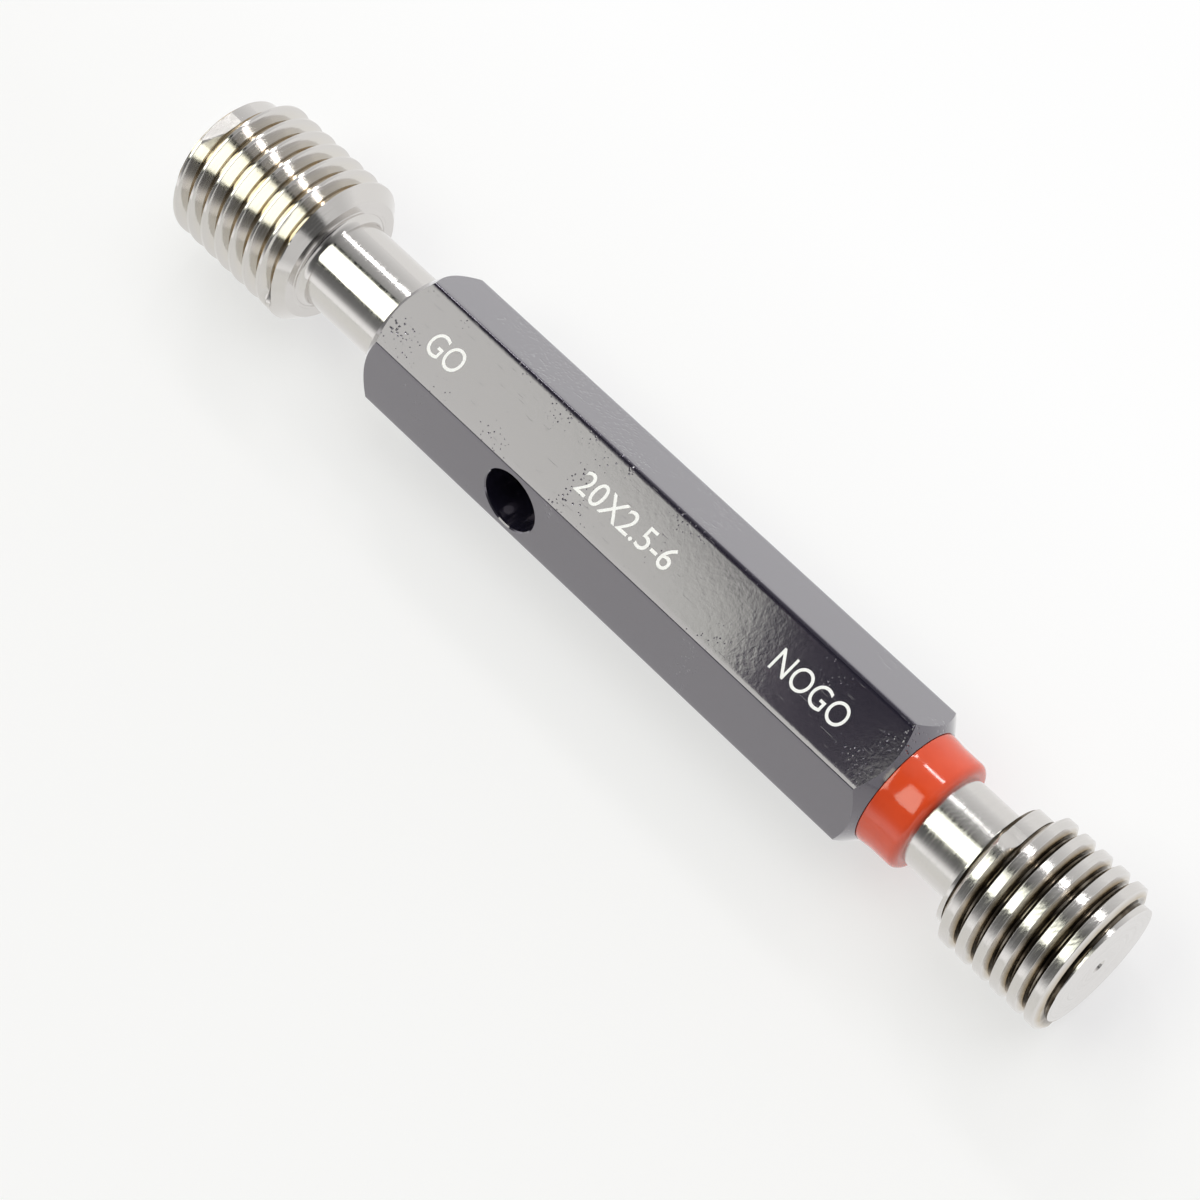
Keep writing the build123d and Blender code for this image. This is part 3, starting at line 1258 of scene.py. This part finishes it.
@dataclass
class NeckRing:
    """Red ring on the neck of the NOGO member, against the handle. Millimetres.

    Its body falls to a waist. The shares say where along the width the outline has its points.
    """

    start: float
    axis_height: float
    finish: RedPlastic
    width: float = 5.5
    inner_radius: float = 6.0
    outer_radius: float = 7.6
    front_radius: float = 0.95
    front_segments: int = 8
    back_chamfer: float = 0.15
    back_segments: int = 2
    waist_depth: float = 0.16
    waist_start: float = 0.42
    waist_shares: tuple[float, ...] = (0.06, 0.12, 0.18, 0.24, 0.30, 0.36, 0.42, 0.50, 0.60, 0.72)
    steps: int = 144
    smooth_turn: float = 40.0

    def build(self) -> bpy.types.Object:
        """Turns the ring and dresses it.

        Returns:
            The piece, riding on its body in place of the plain solid.
        """
        bm = bmesh.new()
        end = self.start + self.width
        waist = self.outer_radius - self.waist_depth
        parts = [min(share / self.waist_start, 1.0) for share in self.waist_shares]
        radii = [waist + self.waist_depth * (0.5 + 0.5 * cos(pi * part)) for part in parts]
        places = [
            (self.start, self.inner_radius),
            (self.start, self.outer_radius),
            *[
                (self.start + self.width * share, radius)
                for share, radius in zip(self.waist_shares, radii)
            ],
            (end, waist),
            (end, self.inner_radius),
        ]
        corners = chain(bm, places)
        bm.edges.new((corners[-1], corners[0]))
        round_corners(bm, [places[1]], self.back_chamfer, self.back_segments)
        round_corners(bm, [places[-2]], self.front_radius, self.front_segments)
        spin_round(bm, self.steps)
        mark_edges(bm, self.smooth_turn)
        piece = finish_piece(bm, "nogo_ring_red", self.axis_height)
        piece.data.materials.append(self.finish.material())
        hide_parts("nogo_ring")
        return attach(piece, BODY)


@dataclass
class Lettering:
    """White-filled engraving along the top flat. Millimetres."""

    words: str
    name: str
    left: float
    right: float
    bottom: float
    top: float
    face_height: float
    finish: bpy.types.Material
    thickness: float = 0.02
    merged_within: float = 1e-5

    def build(self) -> bpy.types.Object:
        """Sets the words as a thin mesh that just stands proud of the flat.

        Returns:
            The piece, riding on its body.
        """
        text = bpy.data.curves.new(self.name, "FONT")
        text.body = self.words
        # Any depth does, since the mesh is scaled to its thickness
        text.extrude = 0.5
        writer = bpy.data.objects.new(self.name, text)
        bpy.context.scene.collection.objects.link(writer)
        bpy.context.view_layer.update()
        graph = bpy.context.evaluated_depsgraph_get()
        mesh = bpy.data.meshes.new_from_object(writer.evaluated_get(graph))
        bpy.data.objects.remove(writer)
        bm = bmesh.new()
        bm.from_mesh(mesh)
        bpy.data.meshes.remove(mesh)
        bmesh.ops.remove_doubles(bm, verts=bm.verts, dist=self.merged_within)
        places = list(zip(*[vert.co for vert in bm.verts]))
        low, high = Vector([min(row) for row in places]), Vector([max(row) for row in places])
        wanted = Vector((self.right - self.left, self.top - self.bottom, self.thickness))
        scale = [size / written for size, written in zip(wanted, high - low)]
        corner = (self.left, self.bottom, self.face_height - self.thickness / 2)
        bmesh.ops.translate(bm, verts=bm.verts, vec=-low)
        bmesh.ops.scale(bm, verts=bm.verts, vec=scale)
        bmesh.ops.translate(bm, verts=bm.verts, vec=corner)
        bmesh.ops.scale(bm, verts=bm.verts, vec=(MM, MM, MM))
        bmesh.ops.recalc_face_normals(bm, faces=bm.faces)
        piece = new_object(bm, self.name)
        piece.data.materials.append(self.finish)
        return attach(piece, BODY)


@dataclass
class Studio:
    """White sweep, softbox with a flag, two strip lamps, a fill, a painted room and the camera.

    Metres, watts and degrees. The softbox's fade and flag are read across and along it from its
    centre. The room's levels are given by the angle from overhead about the gauge, for its GO half
    and its NOGO half.
    """

    floor: WhitePaper
    floor_size: float = 6.0
    softbox_centre: Triple = (-0.7458, -0.2599, 1.8358)
    softbox_along: Triple = (0.5557, -0.1708, 0.8136)
    softbox_across: Triple = (-0.2405, 0.9038, 0.3540)
    softbox_size: tuple[float, float] = (1.34, 1.70)
    softbox_power: float = 20.5
    softbox_colour: str = "#FCFFF0"
    softbox_fade: Span = Span(0.70, 0.54)
    flag_edge: Span = Span(0.48, 0.42)
    flag_start: Span = Span(0.34, 0.27)
    flag_end: Span = Span(0.48, 0.53)
    frame_width: float = 0.13
    frame_gap: float = 0.01
    frame_colour: str = "#141316"
    strip_angle: float = 43.5
    strip_distance: float = 1.0
    strip_spans: tuple[tuple[float, float], ...] = ((-0.80, -0.42), (-0.222, -0.08))
    strip_width: float = 0.08
    strip_radiance: float = 14.0
    fill_place: Triple = (0.35, 0.75, 1.55)
    fill_size: float = 1.2
    fill_power: float = 11.0
    room_strength: float = 1.2
    room_levels: tuple[Triple, ...] = (
        (-90.0, 1.14, 1.14),
        (-80.0, 1.10, 1.10),
        (-74.0, 0.80, 0.80),
        (-67.0, 0.33, 0.33),
        (-58.0, 0.19, 0.16),
        (-42.0, 0.16, 0.11),
        (-20.0, 0.18, 0.09),
        (0.0, 0.28, 0.04),
        (14.0, 0.36, 0.05),
        (22.0, 0.48, 0.30),
        (36.0, 0.60, 0.45),
        (52.0, 0.66, 0.62),
        (62.0, 0.90, 0.90),
        (70.0, 1.00, 1.00),
        (80.0, 0.95, 0.95),
        (90.0, 0.90, 0.90),
    )
    nogo_half: Span = Span(-0.40, -0.33)
    go_wall: Span = Span(-0.75, -0.88)
    go_wall_level: float = 1.15
    nogo_wall: Span = Span(0.70, 0.80)
    nogo_wall_levels: tuple[float, float] = (0.75, 0.12)
    panel_middle: float = 0.07
    panel_edge: Span = Span(0.16, 0.24, 1.0, 0.0)
    panel_foot: Span = Span(0.10, 0.25)
    camera_place: Triple = (0.135738, -0.034654, 0.370820)
    camera_aim: Triple = (0.002221, -0.008050, 0.010)
    camera_top: Triple = (-0.644425, 0.707291, 0.290612)
    focal_length: float = 103.21
    sensor_width: float = 36.0
    nearest_seen: float = 0.01

    def lay_floor(self) -> None:
        """Lays the white card that the gauge lies on."""
        bm = bmesh.new()
        bmesh.ops.create_grid(bm, x_segments=1, y_segments=1, size=self.floor_size / 2)
        sweep = new_object(bm, "sweep")
        sweep.data.materials.append(self.floor.material())

    def hang_lamp(
        self,
        name: str,
        place: Matrix,
        size: tuple[float, float],
        power: float,
        colour: str = "#FFFFFF",
    ) -> bpy.types.Object:
        """Hangs a rectangular soft lamp.

        Args:
            name: The lamp's name.
            place: Its place, with its light along its own -Z.
            size: Its sides along its own X and Y.
            power: Its power in watts.
            colour: Its colour.

        Returns:
            The lamp's object.
        """
        lamp = bpy.data.lights.new(name, "AREA")
        lamp.shape = "RECTANGLE"
        lamp.size, lamp.size_y = size
        lamp.energy = power
        lamp.color = linear_colour(colour)[:3]
        holder = bpy.data.objects.new(name, lamp)
        holder.matrix_world = place
        holder.visible_camera = False
        bpy.context.scene.collection.objects.link(holder)
        return holder

    def shade_softbox(self, lamp: bpy.types.AreaLight) -> None:
        """Lets the softbox's cloth fade at its upper edge, with a flag hung over a part of it.

        Args:
            lamp: The softbox's lamp.
        """
        lamp.use_nodes = True
        tree = lamp.node_tree
        tree.nodes.clear()
        spot = add_node(tree, "NewGeometry")
        from_centre = add_node(
            tree, "VectorMath", {0: spot, 1: self.softbox_centre}, operation="SUBTRACT"
        )
        along, across = (
            add_node(tree, "VectorMath", {0: from_centre, 1: side}, operation="DOT_PRODUCT")
            for side in (self.softbox_along, self.softbox_across)
        )
        fade, above, before, beyond = (
            add_node(tree, "MapRange", span.of(reading), interpolation_type="SMOOTHSTEP")
            for span, reading in (
                (self.softbox_fade, across),
                (self.flag_edge, across),
                (self.flag_start, along),
                (self.flag_end, along),
            )
        )
        clear = above
        for side in (before, beyond):
            clear = add_node(tree, "Math", {0: clear, 1: side}, operation="MAXIMUM")
        level = add_node(tree, "Math", {0: fade, 1: clear}, operation="MULTIPLY")
        cloth = add_node(tree, "Emission", {"Color": (1, 1, 1, 1), "Strength": level})
        add_node(tree, "OutputLight", {"Surface": cloth})

    def hang_frame(self, place: Matrix) -> None:
        """Hangs the softbox's dark frame just behind its cloth.

        Args:
            place: The softbox's place.
        """
        material, tree = new_material("Black cloth")
        cloth = add_node(tree, "BsdfDiffuse", {"Color": linear_colour(self.frame_colour)})
        add_node(tree, "OutputMaterial", {"Surface": cloth})
        bm = bmesh.new()
        # A square with sides of 1, scaled to the frame
        bmesh.ops.create_grid(bm, x_segments=1, y_segments=1, size=0.5)
        length, width = (side + 2 * self.frame_width for side in self.softbox_size)
        bmesh.ops.scale(bm, verts=bm.verts, vec=(length, width, 1.0))
        behind = place @ Matrix.Translation((0, 0, self.frame_gap))
        bmesh.ops.transform(bm, matrix=behind, verts=bm.verts)
        holder = new_object(bm, "softbox_frame")
        holder.data.materials.append(material)
        holder.visible_camera = False
        holder.visible_shadow = False

    def light(self) -> None:
        """Hangs the softbox, the strips and the fill, and paints the room."""
        along, across = Vector(self.softbox_along), Vector(self.softbox_across)
        turned = Matrix((along, across, along.cross(across))).transposed().to_4x4()
        softbox_place = Matrix.Translation(self.softbox_centre) @ turned
        softbox = self.hang_lamp(
            "softbox", softbox_place, self.softbox_size, self.softbox_power, self.softbox_colour
        )
        self.shade_softbox(softbox.data)
        self.hang_frame(softbox_place)
        lean = radians(self.strip_angle)
        for number, (first, last) in enumerate(self.strip_spans, 1):
            strip_place = Vector((0.0, sin(lean), cos(lean))) * self.strip_distance
            strip_place.x = (first + last) / 2
            self.hang_lamp(
                f"strip_{number}",
                Matrix.Translation(strip_place) @ Matrix.Rotation(-lean, 4, "X"),
                (last - first, self.strip_width),
                self.strip_radiance * pi * (last - first) * self.strip_width,
            )
        fill_place = Vector(self.fill_place)
        turned = fill_place.to_track_quat("Z", "Y").to_matrix().to_4x4()
        fill = self.hang_lamp(
            "fill", Matrix.Translation(fill_place) @ turned, (self.fill_size,) * 2, self.fill_power
        )
        fill.visible_glossy = False
        self.paint_room()

    def room_grey(self, level: float) -> Colour:
        """Gives the grey that shows at a level once the room's strength is applied."""
        return (level / self.room_strength,) * 3 + (1.0,)

    def room_ramp(self, tree: Tree, position: Reading, column: int) -> bpy.types.Node:
        """Grades one half of the room by the angle from overhead.

        Args:
            tree: The world's tree.
            position: The angle, from 0 at -90 degrees to 1 at 90.
            column: Which of the room's levels the half takes.

        Returns:
            The node that gives the colour.
        """
        ramp = add_node(tree, "ValToRGB", {0: position})
        stops = ramp.color_ramp.elements
        while len(stops) > 1:
            stops.remove(stops[-1])
        for number, levels in enumerate(self.room_levels):
            stop = stops[0] if number == 0 else stops.new(0.5)
            stop.position = (levels[0] + TOP_ANGLE) / (2 * TOP_ANGLE)
            stop.color = self.room_grey(levels[column])
        return ramp

    def nogo_wall_paint(self, tree: Tree, parts: bpy.types.bpy_prop_collection) -> bpy.types.Node:
        """Paints the wall at the NOGO end: pale, with a dark panel above the table.

        Args:
            tree: The world's tree.
            parts: The parts of the direction.

        Returns:
            The node that gives the level.
        """
        aside = add_node(tree, "Math", {0: parts["Y"], 1: self.panel_middle}, operation="SUBTRACT")
        aside = add_node(tree, "Math", {0: aside}, operation="ABSOLUTE")
        panel = add_node(tree, "MapRange", self.panel_edge.of(aside))
        above_table = add_node(tree, "MapRange", self.panel_foot.of(parts["Z"]))
        covered = add_node(tree, "Math", {0: panel, 1: above_table}, operation="MULTIPLY")
        pale, dark = (level / self.room_strength for level in self.nogo_wall_levels)
        return add_node(tree, "MapRange", Span(0.0, 1.0, pale, dark).of(covered))

    def paint_room(self) -> None:
        """Paints the room: white walls under a grey ceiling, and white where the camera sees it."""
        world = bpy.data.worlds.new("room")
        bpy.context.scene.world = world
        world.use_nodes = True
        tree = world.node_tree
        tree.nodes.clear()
        direction = add_node(tree, "TexCoord").outputs["Generated"]
        parts = add_node(tree, "SeparateXYZ", {"Vector": direction}).outputs
        angle = add_node(tree, "Math", {0: parts["Y"], 1: parts["Z"]}, operation="ARCTAN2")
        position = add_node(tree, "MapRange", Span(-pi / 2, pi / 2).of(angle))
        go_ramp, nogo_ramp = (self.room_ramp(tree, position, column) for column in (1, 2))
        nogo_half, nogo_wall, go_wall = (
            add_node(tree, "MapRange", span.of(parts["X"]))
            for span in (self.nogo_half, self.nogo_wall, self.go_wall)
        )
        seen = add_node(tree, "LightPath").outputs["Is Camera Ray"]
        colour = go_ramp
        for share, over in (
            (nogo_half, nogo_ramp),
            (nogo_wall, self.nogo_wall_paint(tree, parts)),
            (go_wall, self.room_grey(self.go_wall_level)),
            (seen, self.room_grey(1.0)),
        ):
            inputs = {"Factor": share, "A": colour, "B": over}
            colour = add_node(tree, "Mix", inputs, data_type="RGBA")
        sky = add_node(tree, "Background", {"Color": colour, "Strength": self.room_strength})
        add_node(tree, "OutputWorld", {"Surface": sky})

    def set_camera(self) -> None:
        """Places the camera at the photograph's view."""
        lens = bpy.data.cameras.new("camera")
        lens.lens = self.focal_length
        lens.sensor_width = self.sensor_width
        lens.clip_start = self.nearest_seen
        camera = bpy.data.objects.new("camera", lens)
        place = Vector(self.camera_place)
        back = (place - Vector(self.camera_aim)).normalized()
        right = Vector(self.camera_top).cross(back).normalized()
        turned = Matrix((right, back.cross(right), back)).transposed().to_4x4()
        camera.matrix_world = Matrix.Translation(place) @ turned
        bpy.context.scene.collection.objects.link(camera)
        bpy.context.scene.camera = camera

    def build(self) -> None:
        """Sets the whole studio."""
        self.lay_floor()
        self.light()
        self.set_camera()
        bpy.context.scene.view_settings.view_transform = "Standard"


def main() -> None:
    """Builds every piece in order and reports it."""
    logging.basicConfig(level=logging.INFO, format="%(message)s")
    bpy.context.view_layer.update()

    (go_low, go_high), (nogo_low, nogo_high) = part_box("go_member"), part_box("nogo_member")
    handle_low, handle_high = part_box("handle")
    axis_height = (go_low.z + go_high.z) / 2 / MM
    go_face, nogo_face = go_low.x / MM, nogo_high.x / MM
    handle_start, handle_end = handle_low.x / MM, handle_high.x / MM
    # Millimetres: how long each thread is, and how far past its lower end its first crest lies
    go_length, nogo_length = 20.0, 16.0
    go_lead, nogo_lead = 1.25, 1.658

    go_member = GoMember(
        name="go_member_ground",
        node="go_member",
        free_end=FreeEnd.GO,
        thread=ThreadForm(
            crest_radius=10.0,
            crest_flat=0.34,
            slot_width=0.60,
            groove_depth=1.80,
            first_crest=go_face + go_lead,
        ),
        finish=GroundSteel("Ground tool steel, GO member"),
        axis_height=axis_height,
        end_face=go_face,
        thread_length=go_length,
        handle_face=handle_start,
        shank_end=go_high.x / MM,
        neck_fillet=1.0,
    )
    nogo_member = NogoMember(
        name="nogo_member_ground",
        node="nogo_member",
        free_end=FreeEnd.NOGO,
        thread=ThreadForm(
            crest_radius=9.49,
            crest_flat=1.09,
            slot_width=0.50,
            groove_depth=1.64,
            first_crest=nogo_face - nogo_length + nogo_lead,
        ),
        finish=GroundSteel(
            "Ground tool steel, NOGO member",
            # Painted shade in the grooves, dark and warm towards their floors
            flank_painted_shade="#BDB09B",
            floor_painted_shade="#4C4338",
            painted_shade_amount=1.0,
            floor_shade_span=Span(0.45, 0.85),
            roughness=0.17,
            chatter_height=0.003,
        ),
        axis_height=axis_height,
        end_face=nogo_face,
        thread_length=nogo_length,
        handle_face=handle_end,
        shank_end=nogo_low.x / MM,
    )
    handle = HexHandle(handle_start, handle_end, axis_height, BlackLacquer())
    ring = NeckRing(handle_end, axis_height, RedPlastic())
    flat = axis_height + handle.across_flats / 2
    filling = WhiteFilling().material()
    lettering = [
        Lettering("GO", "mark_go", -31.34, -26.25, -1.77, 1.24, flat, filling),
        Lettering("20X2.5-6", "mark_size", -6.3, 8.3, -1.74, 1.16, flat, filling),
        Lettering("NOGO", "mark_nogo", 24.33, 34.94, -1.50, 1.42, flat, filling),
    ]
    for piece in [go_member, nogo_member, handle, ring, *lettering]:
        built = piece.build()
        log.info("%s: %d faces", built.name, len(built.data.polygons))
    Studio(WhitePaper()).build()


if __name__ == "__main__":
    main()
